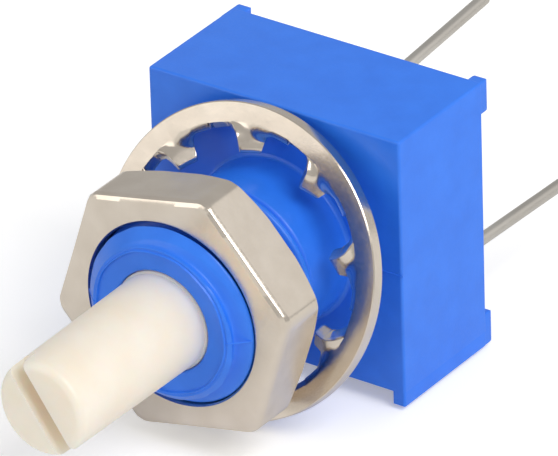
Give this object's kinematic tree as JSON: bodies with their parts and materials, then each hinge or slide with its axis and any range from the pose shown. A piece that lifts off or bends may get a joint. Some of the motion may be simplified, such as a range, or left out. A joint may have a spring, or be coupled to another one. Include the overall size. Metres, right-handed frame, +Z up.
{
  "type": "panel mount potentiometer",
  "caption": "Small square sealed rotary potentiometer with a threaded bushing, slotted shaft, lock washer, nut and three rear pins.",
  "frame": {"origin": "on the shaft axis at the housing's front face, which meets the panel", "axes": "-Y along the shaft towards its slotted end, +Y towards the terminal pins, +Z up, +X to the right seen from the front"},
  "size_m": [0.0102, 0.024, 0.0099],
  "materials": {
    "blue_plastic": "satin moulded glass-filled plastic",
    "white_nylon": "warm white moulded nylon",
    "seal_rubber": "black silicone",
    "contact_alloy": "stamped precious metal alloy",
    "ceramic": "fired white alumina",
    "resistive_ink": "fired black cermet film",
    "silver_ink": "fired silver palladium film",
    "tinned_wire": "dull tin plate",
    "solder": "bright solder",
    "blue_resin": "cast epoxy resin",
    "nickel_plate": "barrel nickel plate"
  },
  "bodies": {
    "base": {"housing": "blue_plastic", "element_substrate": "ceramic", "resistive_track": "resistive_ink", "collector_ring": "silver_ink", "end_conductor_1": "silver_ink", "end_conductor_3": "silver_ink", "terminal_pin_1": "tinned_wire", "terminal_pin_2": "tinned_wire", "terminal_pin_3": "tinned_wire", "solder_joint_1": "solder", "solder_joint_2": "solder", "solder_joint_3": "solder", "rear_seal": "blue_resin"},
    "rotor": {"shaft": "white_nylon", "shaft_seal": "seal_rubber", "wiper_contact": "contact_alloy"},
    "washer": {"lock_washer": "nickel_plate"},
    "nut": {"hex_nut": "nickel_plate"}
  },
  "joints": [
    {"name": "shaft_turn", "type": "hinge", "parent": "base", "child": "rotor", "pos_m": [0, 0, 0], "axis": [0, -1, 0], "range_deg": [-150, 150]},
    {"name": "washer_travel", "type": "slide", "parent": "base", "child": "washer", "axis": [0, -1, 0], "range_m": [0, 0.00178]},
    {"name": "nut_turn", "type": "hinge", "parent": "washer", "child": "nut", "pos_m": [0, -0.0047, 0], "axis": [0, -1, 0], "range_deg": [0, 808]}
  ],
  "couplings": [
    {"joint": "nut_turn", "follows": "washer_travel", "rad_per_m": 7913.3}
  ]
}
